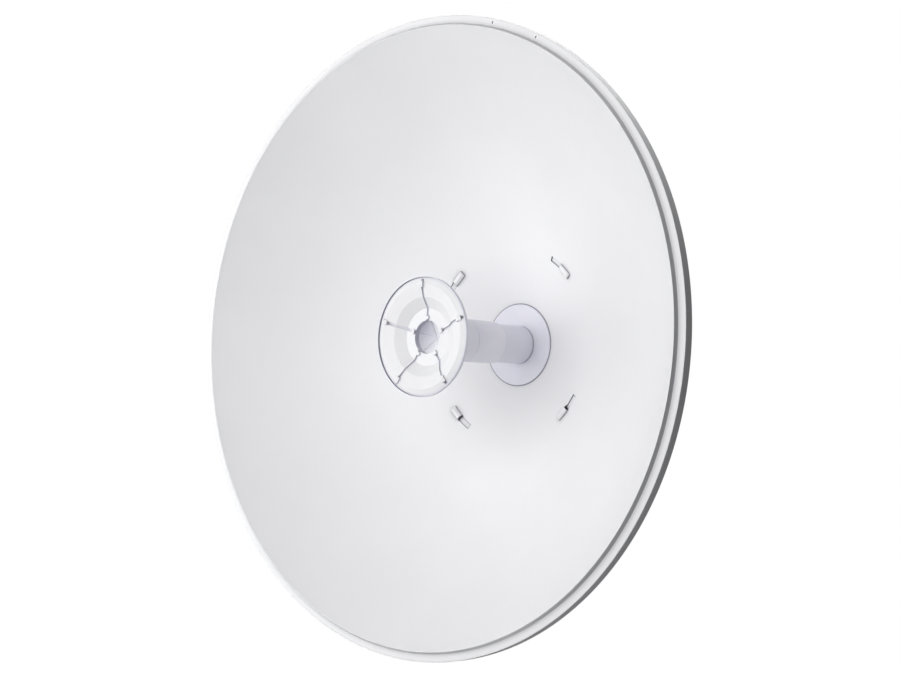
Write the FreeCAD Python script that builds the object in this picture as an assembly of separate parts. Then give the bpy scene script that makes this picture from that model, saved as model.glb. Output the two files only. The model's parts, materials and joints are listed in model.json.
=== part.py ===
import FreeCAD, Part
import math
import os

# Outdoor wireless bridge: a dish antenna, its feed, the radio behind it and the pole mount.
# Millimetres, +Z up. The dish faces -Y. The origin is on the pole's axis, level with the dish's axis.

# ---- reflector ----
RIM_Y = -290.0            # plane of the flat ring round the rim
RIM_R = 323.8             # outer wall of the rim
DEPTH = 160.0             # rim plane to vertex
FOCAL = 150.0             # focal length of the paraboloid
SHEET = 1.8               # axial thickness of the pressed sheet
RIM_SHEET = 1.4           # thickness of the sheet where it is rolled at the rim
RIM_WALL = 10.2           # height of the rim's outer wall
RING_IN_R = 317.2         # inner edge of the flat ring
RING_IN = 0.3             # ring behind the rim plane at its inner edge
RING_OUT = 0.5            # and at its outer edge
CREST_R = 313.4           # top of the folded crest
CREST_H = 3.5             # height of the crest in front of the rim plane
CREST_RUN = 0.5           # half width of the crest's round
CREST_DROP = 0.4          # crest's round, front to back
CREST_FOOT = (315.4, 0.4) # radius and height where the crest's outer slope ends
BOWL_EDGE_R = 312.9       # where the paraboloid runs into the crest
HOLE_R = 31.5             # central hole
DRAIN_R = 320.0           # circle of the two drain holes in the rim
DRAIN_HOLE_R = 1.5
DRAIN_ANGLES = (61.2, 71.9)
RIM_ROUND = 0.6           # outer corner of the rim

# ---- twist-lock lances, four of them, a quarter turn apart ----
LANCE_R = 104.0
LANCE_SLOT = 47.95        # angle of the first slot, anticlockwise from +X seen from the front
SLOT_HALF = 0.65          # half the slot's angle
PAD_ANGLE = 8.1           # angle of the raised pad
POCKET_ANGLE = 8.0        # angle of the sunk pocket
PAD_HALF = 3.5            # half the pad's radial width
POCKET_HALF = 2.95        # half the pocket's
PAD_H = 3.2               # pad above the sheet
POCKET_D = 2.6            # pocket below it
PAD_WALL = 0.7
HOOK_HALF = 2.6           # half the hook's radial width
HOOK_T = 1.5
HOOK_GAP = 0.15           # hook above the pocket's floor
NECK_ANGLE = 0.8
HOOK_ANGLE = 8.6
PAD_ROUND = 2.5
LANCE_SLOPE = math.atan(LANCE_R / (2.0 * FOCAL))

# ---- feed ----
TUBE_R = 20.2             # outside of the waveguide tube
TUBE_BORE = 18.4
SLEEVE_R = 22.1           # outside of the feed sleeves
FIT = 0.05                # radial clearance of a running or locating fit
TUBE_FRONT = 52.0         # distances behind the rim plane
SLEEVE_FRONT = 17.1
SLEEVE_JOINT = 68.0
SLEEVE_REAR = 110.5
TUBE_BACK_Y = -97.0
FLANGE_R = 43.3
FLANGE_T = 1.4
FLANGE_ROUND = 0.7
HUB_R = 31.0              # threaded hub of the flange
HUB_BACK_Y = -114.0
SEAL_W = 0.8
SEAL_FRONT = (0.5, 0.35)  # height in front of the bowl at the seal's inner and outer edge
SLEEVE_ROUND = 0.3
SLEEVE_GAP = 0.1          # between the two sleeves
PROBE_R = 0.8
PROBE_SPAN = (5.0, 25.0)  # distances from the axis
PROBE_BUSH_R = 3.0
PROBE_BUSH_END = 23.0
PROBE_Y = TUBE_BACK_Y - 8.5
LENS_FRONT = 36.0         # dielectric support behind the rim plane
LENS_FLAT_R = 8.0
LENS_EDGE = 43.0
LENS_PLUG = 18.0          # straight part inside the waveguide
LENS_TIP = 44.0           # end of its matching cone behind the waveguide's mouth
BACKSHORT_DEPTH = 2.5
BACKSHORT_LIP = 1.5
BACKSHORT_T = 1.6
LOCK_NUT_R = 44.0
LOCK_NUT_T = 8.0
LOCK_NOTCHES = 12
LOCK_NOTCH_R = 2.5

# ---- sub-reflector: radius and distance behind the rim plane along its face ----
FACE = ((60.0, 5.2), (53.4, 3.0), (40.3, 6.4), (29.3, 13.2), (17.0, 12.7), (16.6, 18.0), (0.0, 28.3))
COVER_T = 2.8
COVER_EDGE_T = 0.9        # the cover thins towards its rim
PLATE_T = 1.2
PLATE_EDGE_T = 0.8
PLATE_RIM_R = 61.0
PLATE_LIP = 1.8           # rolled edge in front of the cover's rim
LIP_GAP = 0.35            # rolled edge outside the cover's rim
CHANNELS = 5
CHANNEL_START = 88.6      # angle of the first channel
CHANNEL_HALF = 1.5        # half width
CHANNEL_D = 2.2           # depth
CHANNEL_SPAN = (15.6, 58.5)
TAB_HALF = 2.3
TAB_H = 1.8
TAB_SPANS = ((50.0, 56.5), (18.0, 21.5))

# ---- back plate and yoke ----
BACK_HOLE_R = 40.0
PLATE_SHEET = 2.5
FLAT_R = 74.0
SKIRT_R = 96.0
BACK_R = 110.0
SKIRT_GAP = 3.2           # back plate behind the reflector's back at the lances
EAR_IN = 51.0
EAR_T = 3.0
YOKE_H = 56.0             # half height of the yoke
WEB_T = 3.0
WINDOWS = 8               # round lightening holes in the back plate
WINDOW_R = 7.0
WINDOW_CIRCLE_R = 85.0
WINDOW_START = 3.0
BEND_R = 2.5
YOKE_BOLT_X = 40.0
YOKE_BOLT_Z = 46.0
YOKE_HOLE_GAP = 0.3
SIDE_SCREW_Z = 36.0
SIDE_SCREW_R = 1.95
PIVOT_Y = -64.0
PIVOT_PAD_R = 13.0
LOCK_PAD_R = 11.0
ARC_R = 38.0              # lock bolt from the pivot
TILT = 20.0               # elevation, each way
SPACER_T = 1.0
SPACER_R = 9.0
SLOT_GAP = 0.3            # curved slot round the lock bolt
SLOT_SPARE = 0.5          # angle of the slot past the tilt's limits

# ---- pole bracket and clamp ----
POLE_R = 25.4             # nominal pole
JAW_FIT = 0.1
CHEEK_T = 3.0
WEB_Y = -36.0             # front face of the bracket's web
JAW_H = 42.0              # half height of the jaws
JAW_T = 3.0
JAW_TIP_Y = 8.0           # jaw tips from the pole's axis
JAW_HALF = 40.0
JAW_TEETH = 9
JAW_NOTCH_R = 1.5
JAW_CORNER = 4.0
JAW_END_ANGLE = 6.0       # last notch from the tip of the jaw
FAN_MARGIN = 10.0         # cheek outside the curved slot
FAN_SPREAD = 16.0         # angle of the cheek past the tilt's limits
CHEEK_PAD_R = 14.0
WEB_HOLE_R = 12.0         # round hole in the middle of both webs
REAR_CORNER = 6.0
REAR_MARGIN = 3.0         # rear web narrower than the bracket's, each side
CLAMP_X = 44.0
CLAMP_Z = 25.0
CLAMP_END_Y = 78.0

# ---- radio ----
RADIO_X = 44.0
RADIO_FRONT_Y = -113.0
RADIO_BACK_Y = -71.0
PARTING_Y = -92.0
RADIO_H = 65.0
RADIO_WALL = 2.5
RADIO_ROUND = 10.0
COVER_DROP = 19.0         # length of the port cover below the shells
SHELL_ROUND = 3.5         # round of the shells' outer faces
GASKET_HALF = 0.5
GASKET_INSET = 0.6
BOARD_T = 1.6
BOARD_X = 38.0
BOARD_Z = (-61.0, 60.0)
SHELL_SCREWS = [(x, z) for x in (-35.0, 35.0) for z in (-50.0, 0.0, 50.0)]
SHELL_SCREW_R = 1.65
SHELL_BOSS_R = 4.0
SHELL_SCREW_HEAD = (3.9, 2.2)       # radius and height
BOARD_SCREWS = [(x, z) for x in (-28.0, 28.0) for z in (-36.0, 52.0)]
BOARD_SCREW_R = 1.25
BOARD_BOSS_R = 3.5
BOARD_SCREW_HEAD = (2.6, 1.6)
PORT_X = 8.6              # half width of the opening for the socket
PORT_Y = (-90.6, -76.2)
JACK_Z = -RADIO_H + RADIO_WALL
JACK_X = 8.0
JACK_T = 13.2
JACK_L = 20.8
BUTTON_X = 20.0
BUTTON_Y = -84.0
BUTTON_R = 2.5
GROUND_X = -24.0
GROUND_R = 1.55
PIPE_X = (-12.0, -6.0, 0.0, 6.0, 12.0)
PIPE_Z = 46.0
PIPE_R = 1.5
VENT_Z = -20.0
VENT_R = 5.0
VENT_CAP_R = 7.0
GUIDE_X = (-30.0, 30.0)   # tongues that guide the port cover
GUIDE_Y = -99.0
GUIDE_HALF = 5.0
GUIDE_T = 2.4
GUIDE_GAP = 0.3
COVER_WALL = 2.2
GROMMET_R = 9.0
GROMMET_LIP_R = 10.5
GROMMET_Y = -90.0
RIB_Z = 42.0              # half length of the two grooves in the rear shell

# ---- fasteners: metric sizes ----
M8 = {"r": 4.0, "head_r": 9.0, "head_t": 4.4, "flats": 13.0, "nut_t": 6.8, "washer_r": 8.0, "washer_t": 1.6}
M6 = {"r": 3.0, "head_r": 6.0, "head_t": 2.6, "flats": 10.0, "nut_t": 5.2, "washer_r": 6.0, "washer_t": 1.2}
SPRING_T = 2.0
TIP_CHAMFER = 0.8

CHEEK_IN = EAR_IN + EAR_T + SPACER_T
CHEEK_OUT = CHEEK_IN + CHEEK_T
SIDE_SCREW_Y = RADIO_FRONT_Y + 5.5
BOARD_Y = PARTING_Y - GASKET_HALF
BOARD_BACK_Y = BOARD_Y + BOARD_T
RADIO_LOW_Z = -RADIO_H - COVER_DROP
VERTEX_Y = RIM_Y + DEPTH
FLAT_Y = VERTEX_Y + SHEET - BACK_HOLE_R ** 2 / (4.0 * FOCAL) + FIT
WEB_FRONT_Y = FLAT_Y + PLATE_SHEET
WEB_BACK_Y = WEB_FRONT_Y + WEB_T

AXIS = FreeCAD.Vector(0, -1, 0)     # dish axis: angles run anticlockwise seen from the front
ZERO = FreeCAD.Vector(0, 0, 0)


def vec(x, y, z=0.0):
    return FreeCAD.Vector(x, y, z)


TO_RIGHT = vec(1, 0, 0)
TO_BACK = vec(0, 1, 0)
UP = vec(0, 0, 1)


# ---------------------------------------------------------------- helpers
def box(x0, x1, y0, y1, z0, z1):
    return Part.makeBox(x1 - x0, y1 - y0, z1 - z0, vec(x0, y0, z0))


def rod(radius, start, end):
    """Round bar between two points."""
    run = end.sub(start)
    return Part.makeCylinder(radius, run.Length, start, run)


def tube(outer, inner, start, end):
    return rod(outer, start, end).cut(rod(inner, start, end))


def joined(shapes):
    """One shape from several that touch or overlap."""
    whole = shapes[0].multiFuse(shapes[1:]) if len(shapes) > 1 else shapes[0]
    return whole.removeSplitter()


def group(shapes):
    return Part.makeCompound(shapes)


def face_of(edges):
    return Part.Face(Part.Wire(Part.__sortEdges__(edges)))


def outline(points):
    """Face with straight sides through the points."""
    return Part.Face(Part.makePolygon(points + points[:1]))


def spun(face, start=0.0, angle=360.0):
    """Turn a face in the X-Y half plane about the dish's axis."""
    turned = face.copy()
    turned.rotate(ZERO, AXIS, start)
    return turned.revolve(ZERO, AXIS, angle)


def spun_points(points, start=0.0, angle=360.0):
    return spun(outline([vec(r, y) for r, y in points]), start, angle)


def bowl_y(radius):
    """Front of the reflector at a radius."""
    return VERTEX_Y - radius ** 2 / (4.0 * FOCAL)


def bowl_curve(r0, r1, shift=0.0):
    """The paraboloid's section from r0 to r1 as an exact quadratic curve."""
    slope = -r0 / (2.0 * FOCAL)
    middle = vec((r0 + r1) / 2.0, bowl_y(r0) + slope * (r1 - r0) / 2.0 + shift)
    curve = Part.BezierCurve()
    curve.setPoles([vec(r0, bowl_y(r0) + shift), middle, vec(r1, bowl_y(r1) + shift)])
    return curve.toShape()


def line(p, q):
    return Part.LineSegment(p, q).toShape()


def arc(p, middle, q):
    return Part.Arc(p, middle, q).toShape()


def chain(points):
    return [line(p, q) for p, q in zip(points, points[1:])]


def turned_copies(shape, count):
    copies = []
    for index in range(count):
        copy = shape.copy()
        copy.rotate(ZERO, AXIS, index * 360.0 / count)
        copies.append(copy)
    return copies


def edges_where(shape, test):
    return [edge for edge in shape.Edges if test(edge)]


def ring_edges(shape, centre):
    """Closed edges round a centre."""
    return edges_where(shape, lambda edge: edge.Closed and edge.CenterOfMass.sub(centre).Length < 0.01)


def along(edge, axis):
    """True for a straight edge that runs along one coordinate axis."""
    if not isinstance(edge.Curve, (Part.Line, Part.LineSegment)):
        return False
    run = edge.lastVertex().Point.sub(edge.firstVertex().Point)
    return abs(abs(run.dot(axis)) - run.Length) < 1e-6


def rounded_box(x0, x1, y0, y1, z0, z1, radius, axis):
    """Box whose edges along one axis are rounded."""
    block = box(x0, x1, y0, y1, z0, z1)
    return block.makeFillet(radius, edges_where(block, lambda edge: along(edge, axis)))


def mirrored_x(shape):
    return shape.mirror(ZERO, vec(1, 0, 0))


def both_sides(shape):
    return [shape, mirrored_x(shape)]


# ---------------------------------------------------------------- fasteners
def placed(shape, base, axis):
    """Move a shape made along +Z so that it starts at base and runs along axis."""
    shape.Placement = FreeCAD.Placement(base, FreeCAD.Rotation(UP, axis))
    return shape


def hexagon(flats, thickness, base, axis):
    """Hexagonal bar with its corners turned off at both ends."""
    corner = flats / math.sqrt(3.0)
    points = []
    for index in range(6):
        angle = math.radians(60.0 * index)
        points.append(vec(corner * math.cos(angle), corner * math.sin(angle)))
    bar = outline(points).extrude(vec(0, 0, thickness))
    small = flats * 0.48
    wide = 2.0 * corner - small
    lead = corner - small
    middle = Part.makeCylinder(corner + 1.0, thickness - 2.0 * lead, vec(0, 0, lead))
    bottom = Part.makeCone(small, wide, lead)
    top = Part.makeCone(wide, small, lead, vec(0, 0, thickness - lead))
    bar = bar.common(middle.fuse(bottom).fuse(top))
    return placed(bar, base, axis)


def nut(size, base, axis):
    end = base.add(axis * size["nut_t"])
    return hexagon(size["flats"], size["nut_t"], base, axis).cut(rod(size["r"] + FIT, base, end))


def washer(size, base, axis):
    return tube(size["washer_r"], size["r"] + FIT, base, base.add(axis * size["washer_t"]))


def spring_washer(size, base, axis):
    """Split ring; the split is a narrow slot on one side."""
    ring = tube(size["r"] * 1.75, size["r"] + FIT, base, base.add(axis * SPRING_T))
    reach = UP * size["r"] * 2.0
    wide = axis.cross(UP) * 0.6
    start = base.sub(wide * 0.5)
    end = start.add(wide)
    slot = outline([start, end, end.add(reach), start.add(reach)])
    return ring.cut(slot.extrude(axis * SPRING_T))


def carriage_bolt(size, seat, axis, length, neck):
    """Domed head in front of the seat, square neck behind it, then the round shank."""
    head = Part.makeSphere(size["head_r"] * 1.15, seat.add(axis * (size["head_r"] * 0.67)))
    cap = rod(size["head_r"], seat.sub(axis * size["head_t"]), seat)
    bolt = head.common(cap)
    side = size["r"] * 2.0
    square = placed(Part.makeBox(side, side, neck, vec(-size["r"], -size["r"])), seat, axis)
    end = seat.add(axis * length)
    shank = rod(size["r"], seat, end)
    return joined([bolt, square, shank.makeChamfer(TIP_CHAMFER, ring_edges(shank, end))])


def square_hole(size, seat, axis, depth):
    side = size["r"] * 2.0 + 2.0 * FIT
    hole = Part.makeBox(side, side, depth + 2.0, vec(-side / 2.0, -side / 2.0, -1.0))
    return placed(hole, seat, axis)


def pan_screw(radius, head, seat, axis, length):
    """Low round head with a cross recess, then the shank; head is its radius and height."""
    head_r, head_t = head
    top = seat.sub(axis * head_t)
    disc = rod(head_r, top, seat)
    disc = disc.makeFillet(head_t * 0.45, ring_edges(disc, top))
    screw = disc.fuse(rod(radius, seat, seat.add(axis * length)))
    reach = head_r * 0.5
    half = head_r * 0.12
    deep = head_t * 0.55
    cross = joined([box(-reach, reach, -half, half, 0, deep), box(-half, half, -reach, reach, 0, deep)])
    return screw.cut(placed(cross, top, axis))


# ---------------------------------------------------------------- reflector
def reflector_section():
    """Bowl, rolled crest, flat ring and outer wall, and the same line behind them as the sheet's back."""
    crest_in = vec(BOWL_EDGE_R, bowl_y(BOWL_EDGE_R))
    crest_out = vec(CREST_R + CREST_RUN, RIM_Y - CREST_H + CREST_DROP)
    slope_end = vec(CREST_FOOT[0], RIM_Y - CREST_FOOT[1])
    foot = vec(RING_IN_R, RIM_Y + RING_IN)
    foot_middle = vec(RING_IN_R - 1.1, RIM_Y + RING_IN - 0.12)
    ring_out = RIM_Y + RING_OUT
    corner_in = vec(RIM_R - RIM_ROUND, ring_out)
    corner_out = vec(RIM_R, ring_out + RIM_ROUND)
    wall_end = vec(RIM_R, RIM_Y + RIM_WALL)
    inner_r = RIM_R - RIM_SHEET
    inner_y = ring_out + RIM_SHEET
    bend = RIM_ROUND * (1.0 - math.sqrt(0.5))
    back_edge_r = BOWL_EDGE_R - 0.3
    back_edge = vec(back_edge_r, bowl_y(back_edge_r) + SHEET)
    edges = [bowl_curve(HOLE_R, BOWL_EDGE_R)]
    edges.append(arc(crest_in, vec(CREST_R, RIM_Y - CREST_H), crest_out))
    edges.append(line(crest_out, slope_end))
    edges.append(arc(slope_end, foot_middle, foot))
    edges.append(line(foot, corner_in))
    edges.append(arc(corner_in, vec(RIM_R - bend, ring_out + bend), corner_out))
    edges += chain([corner_out, wall_end, vec(inner_r, RIM_Y + RIM_WALL), vec(inner_r, inner_y + 0.6),
                    vec(inner_r - 0.6, inner_y), vec(RING_IN_R - 0.6, RIM_Y + RING_IN + RIM_SHEET),
                    vec(CREST_R + 0.8, RIM_Y + 0.2), back_edge])
    edges.append(bowl_curve(HOLE_R, back_edge_r, SHEET))
    edges.append(line(vec(HOLE_R, bowl_y(HOLE_R) + SHEET), vec(HOLE_R, bowl_y(HOLE_R))))
    return face_of(edges)


def lance_prism(section, start, angle):
    """Bar along the lance circle, square to the sheet; its section is widths and heights above the front."""
    corners = []
    for wide, up in section:
        radius = LANCE_R + wide * math.cos(LANCE_SLOPE) - up * math.sin(LANCE_SLOPE)
        depth = bowl_y(LANCE_R) - wide * math.sin(LANCE_SLOPE) - up * math.cos(LANCE_SLOPE)
        corners.append((radius, depth))
    return spun_points(corners, start, angle)


def lance_block(half_width, low, high, start, angle):
    section = ((-half_width, low), (half_width, low), (half_width, high), (-half_width, high))
    return lance_prism(section, start, angle)


def pad_hollow(start, angle):
    """Room under the pad, narrower at its top."""
    half = PAD_HALF - PAD_WALL
    top = PAD_H - PAD_WALL
    section = ((-half, -SHEET * 2.0), (half, -SHEET * 2.0), (half, top - 1.0), (half - 1.1, top),
               (1.1 - half, top), (-half, top - 1.0))
    return lance_prism(section, start, angle)


def raised_pad(start, angle):
    """Pad with a rounded front edge along both its sides and its closed end."""
    pad = lance_block(PAD_HALF, -SHEET / 2.0, PAD_H, start, angle)
    front = [edge for edge in pad.Edges if on_pad_front(edge, start, angle)]
    return pad.makeFillet(PAD_ROUND, front)


def on_pad_front(edge, start, angle):
    """True for an edge of the pad's front face, apart from the one at the slot."""
    for vertex in edge.Vertexes:
        out = math.hypot(vertex.X, vertex.Z) - LANCE_R
        ahead = bowl_y(LANCE_R) - vertex.Y
        if ahead * math.cos(LANCE_SLOPE) - out * math.sin(LANCE_SLOPE) < PAD_H - 0.1:
            return False
    middle = edge.valueAt((edge.FirstParameter + edge.LastParameter) / 2.0)
    turn = math.degrees(math.atan2(middle.z, middle.x))
    return turn < start + angle - 0.2


def dish_reflector():
    dish = spun(reflector_section())
    slot_end = LANCE_SLOT + SLOT_HALF
    pad_start = LANCE_SLOT - SLOT_HALF - PAD_ANGLE
    wall = math.degrees(PAD_WALL / LANCE_R)
    pad = raised_pad(pad_start, PAD_ANGLE)
    pocket = lance_block(POCKET_HALF + PAD_WALL, -POCKET_D - PAD_WALL, -SHEET / 2.0, slot_end, POCKET_ANGLE + wall)
    dish = dish.multiFuse(turned_copies(pad, 4) + turned_copies(pocket, 4))
    under_pad = pad_hollow(pad_start + wall, PAD_ANGLE - wall + 0.1)
    over_pocket = lance_block(POCKET_HALF, -POCKET_D, SHEET * 2.0, slot_end - 0.1, POCKET_ANGLE + 0.1)
    slot = lance_block(PAD_HALF, -SHEET * 3.0, SHEET * 2.0, LANCE_SLOT - SLOT_HALF, 2.0 * SLOT_HALF)
    cuts = []
    for cutter in (under_pad, over_pocket, slot):
        cuts += turned_copies(cutter, 4)
    for angle in DRAIN_ANGLES:
        x = DRAIN_R * math.cos(math.radians(angle))
        z = DRAIN_R * math.sin(math.radians(angle))
        cuts.append(rod(DRAIN_HOLE_R, vec(x, RIM_Y - 2.0, z), vec(x, RIM_Y + 4.0, z)))
    return dish.cut(cuts)


# ---------------------------------------------------------------- feed
def feed_flange():
    """Thin round plate that follows the bowl, with a threaded hub through the reflector."""
    bore = TUBE_R + FIT
    front = -FLANGE_T
    edge_r = FLANGE_R - FLANGE_ROUND
    edges = [bowl_curve(bore, edge_r, front), bowl_curve(HUB_R, FLANGE_R, -FIT)]
    top = vec(edge_r, bowl_y(edge_r) + front)
    low = vec(FLANGE_R, bowl_y(FLANGE_R) - FIT)
    edges.append(arc(top, vec(FLANGE_R - 0.2, bowl_y(FLANGE_R) - 0.95), low))
    edges += chain([vec(HUB_R, bowl_y(HUB_R) - FIT), vec(HUB_R, HUB_BACK_Y), vec(bore, HUB_BACK_Y),
                    vec(bore, bowl_y(bore) + front)])
    return spun(face_of(edges))


def flange_seal():
    """Soft ring that shows as a thin line round the flange."""
    inner = FLANGE_R + FIT
    outer = inner + SEAL_W
    return spun_points([(inner, bowl_y(inner) - FIT), (outer, bowl_y(outer) - FIT),
                        (outer, bowl_y(outer) - SEAL_FRONT[1]), (inner, bowl_y(inner) - SEAL_FRONT[0])])


def waveguide_tube():
    front = RIM_Y + TUBE_FRONT
    pipe = tube(TUBE_R, TUBE_BORE, vec(0, front, 0), vec(0, TUBE_BACK_Y, 0))
    return pipe.cut(probe_rods(PROBE_BUSH_R + FIT, 0.0, 2.0 * TUBE_R))


def probe_rods(radius, start, end):
    """A bar square to the waveguide for each of the two polarisations, level and upright."""
    middle = vec(0, PROBE_Y, 0)
    return [rod(radius, middle.add(way * start), middle.add(way * end)) for way in (TO_RIGHT, UP)]


def feed_probes():
    return group(probe_rods(PROBE_R, *PROBE_SPAN))


def probe_bushes():
    bars = probe_rods(PROBE_BUSH_R, TUBE_BORE, PROBE_BUSH_END)
    return group([bar.cut(probe_rods(PROBE_R, 0.0, 2.0 * TUBE_R)) for bar in bars])


def feed_sleeve(front, back):
    """Plastic sleeve over the waveguide, with a small round at each end."""
    bore = TUBE_R + FIT
    y0 = RIM_Y + front
    y1 = RIM_Y + back
    edge_r = SLEEVE_R - SLEEVE_ROUND
    return spun_points([(bore, y0), (edge_r, y0), (SLEEVE_R, y0 + SLEEVE_ROUND),
                        (SLEEVE_R, y1 - SLEEVE_ROUND), (edge_r, y1), (bore, y1)])


def dielectric_support():
    """Plug in the waveguide's mouth, with a matching cone behind it."""
    front = RIM_Y + LENS_FRONT
    shoulder = RIM_Y + TUBE_FRONT
    inside = TUBE_BORE - FIT
    return spun_points([(0, front), (LENS_FLAT_R, front), (TUBE_R, RIM_Y + LENS_EDGE),
                        (TUBE_R, shoulder - FIT), (inside, shoulder - FIT), (inside, shoulder + LENS_PLUG),
                        (0, shoulder + LENS_TIP)])


def waveguide_backshort():
    """Metal end of the waveguide, with a lip behind the tube."""
    inside = TUBE_BORE - FIT
    lip_r = TUBE_R + BACKSHORT_LIP
    front = TUBE_BACK_Y - BACKSHORT_DEPTH
    back = TUBE_BACK_Y + BACKSHORT_T
    return spun_points([(0, front), (inside, front), (inside, TUBE_BACK_Y + FIT), (lip_r, TUBE_BACK_Y + FIT),
                        (lip_r, back), (0, back)])


def face_line(shift, edge_shift=None):
    """The sub-reflector's section, moved back by a shift, from the rim to the axis."""
    line_back = [(r, RIM_Y + depth + shift) for r, depth in FACE]
    if edge_shift is not None:
        line_back[0] = (FACE[0][0], RIM_Y + FACE[0][1] + edge_shift)
    return line_back


def face_layer(front, back):
    """Layer of the sub-reflector outside its well, between two shifts of its face."""
    outside_well = 5
    return spun_points(face_line(front)[:outside_well] + face_line(back)[:outside_well][::-1])


def radial_strip(span, half, angle):
    """Bar that takes in the whole depth of the face between two radii."""
    strip = box(span[0], span[1], RIM_Y - 10.0, RIM_Y + 40.0, -half, half)
    strip.rotate(ZERO, AXIS, angle)
    return strip


def subreflector_cover():
    """Moulded face with five radial channels, each with a raised tab at both ends."""
    cover = spun_points(face_line(0.0) + face_line(COVER_T, COVER_EDGE_T)[::-1])
    band = face_layer(-CHANNEL_D, CHANNEL_D)
    raised = face_layer(-TAB_H, COVER_T / 2.0)
    cuts = []
    tabs = []
    for index in range(CHANNELS):
        angle = CHANNEL_START + index * 360.0 / CHANNELS
        cuts.append(band.common(radial_strip(CHANNEL_SPAN, CHANNEL_HALF, angle)))
        tabs += [raised.common(radial_strip(span, TAB_HALF, angle)) for span in TAB_SPANS]
    return cover.cut(cuts).multiFuse(tabs)


def subreflector_plate():
    """Pressed metal plate behind the cover; its rolled edge stands round the cover's rim."""
    front = face_line(COVER_T + FIT, COVER_EDGE_T + FIT)
    back = face_line(COVER_T + FIT + PLATE_T, COVER_EDGE_T + FIT + PLATE_EDGE_T)
    edge_y = front[0][1]
    lip_r = FACE[0][0] + LIP_GAP
    lip_y = RIM_Y + FACE[0][1] - PLATE_LIP
    rim = [(PLATE_RIM_R, edge_y + PLATE_EDGE_T), (PLATE_RIM_R, lip_y), (lip_r, lip_y), (lip_r, edge_y)]
    return spun_points(rim + front + back[::-1])


def feed_lock_nut():
    """Ring nut that pulls the flange, reflector, back plate and yoke together."""
    y0 = WEB_BACK_Y
    y1 = y0 + LOCK_NUT_T
    ring = tube(LOCK_NUT_R, HUB_R + FIT, vec(0, y0, 0), vec(0, y1, 0))
    notch = rod(LOCK_NOTCH_R, vec(LOCK_NUT_R + 0.6, y0 - 1.0, 0), vec(LOCK_NUT_R + 0.6, y1 + 1.0, 0))
    return ring.cut(turned_copies(notch, LOCK_NOTCHES))


# ---------------------------------------------------------------- back plate and yoke
def back_plate():
    """Dished steel plate: flat middle, sloping skirt, edge parallel to the reflector, four hooks."""
    gap = SHEET + SKIRT_GAP
    bend = 1.2
    front = [(BACK_HOLE_R, FLAT_Y), (FLAT_R, FLAT_Y), (SKIRT_R, bowl_y(SKIRT_R) + gap),
             (BACK_R, bowl_y(BACK_R) + gap)]
    back = [(BACK_HOLE_R, FLAT_Y), (FLAT_R + bend, FLAT_Y), (SKIRT_R + bend, bowl_y(SKIRT_R + bend) + gap),
            (BACK_R, bowl_y(BACK_R) + gap)]
    plate = spun_points(front + [(r, y + PLATE_SHEET) for r, y in back[::-1]])
    floor = -POCKET_D + HOOK_GAP
    start = LANCE_SLOT - NECK_ANGLE / 2.0
    neck = lance_block(HOOK_HALF, -gap - 0.5, floor + HOOK_T, start, NECK_ANGLE)
    hook = lance_block(HOOK_HALF, floor, floor + HOOK_T, start, HOOK_ANGLE)
    plate = joined([plate] + turned_copies(neck, 4) + turned_copies(hook, 4))
    window = rod(WINDOW_R, vec(WINDOW_CIRCLE_R, FLAT_Y - 40.0, 0), vec(WINDOW_CIRCLE_R, FLAT_Y + 10.0, 0))
    window.rotate(ZERO, AXIS, WINDOW_START)
    holes = [square_hole(M6, point, TO_BACK, PLATE_SHEET) for point in yoke_points(FLAT_Y)]
    return plate.cut(holes + turned_copies(window, WINDOWS))


def ear():
    """One side of the yoke: a plate that narrows towards the pivot and the lock bolt above it."""
    top_y = PIVOT_Y - 4.0
    top_z = YOKE_H - 7.7
    low_y = WEB_BACK_Y + 16.0
    corners = [(WEB_FRONT_Y, -YOKE_H), (WEB_FRONT_Y, YOKE_H), (top_y, top_z), (PIVOT_Y + LOCK_PAD_R, ARC_R),
               (PIVOT_Y + PIVOT_PAD_R, 0.0), (PIVOT_Y, -PIVOT_PAD_R), (low_y, -YOKE_H)]
    side = vec(EAR_T, 0)
    plate = outline([vec(EAR_IN, y, z) for y, z in corners]).extrude(side)
    pads = []
    for radius, z in ((PIVOT_PAD_R, 0.0), (LOCK_PAD_R, ARC_R)):
        centre = vec(EAR_IN, PIVOT_Y, z)
        pads.append(rod(radius, centre, centre.add(side)))
    plate = joined([plate] + pads)
    cuts = [square_hole(M8, vec(EAR_IN, PIVOT_Y, z), TO_RIGHT, EAR_T) for z in (0.0, ARC_R)]
    for z in (-SIDE_SCREW_Z, SIDE_SCREW_Z):
        start = vec(EAR_IN - 1.0, SIDE_SCREW_Y, z)
        cuts.append(rod(SIDE_SCREW_R + 0.6, start, start.add(side * 2.0)))
    return plate.cut(cuts)


def elevation_yoke():
    web = box(-EAR_IN - EAR_T, EAR_IN + EAR_T, WEB_FRONT_Y, WEB_BACK_Y, -YOKE_H, YOKE_H)
    yoke = joined([web] + both_sides(ear()))
    bends = edges_where(yoke, lambda edge: along(edge, UP) and edge.Length > 2.0 * YOKE_H - 1.0
                        and abs(edge.CenterOfMass.y - WEB_FRONT_Y) < 0.01)
    yoke = yoke.makeFillet(BEND_R, bends)
    past = vec(0, WEB_T + 2.0)
    centre = vec(0, WEB_FRONT_Y - 1.0)
    cuts = [rod(HUB_R + 0.5, centre, centre.add(past))]
    for point in yoke_points(WEB_FRONT_Y - 1.0):
        cuts.append(rod(M6["r"] + YOKE_HOLE_GAP, point, point.add(past)))
    return yoke.cut(cuts)


def yoke_points(y):
    return [vec(x, y, z) for x in (-YOKE_BOLT_X, YOKE_BOLT_X) for z in (-YOKE_BOLT_Z, YOKE_BOLT_Z)]


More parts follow.
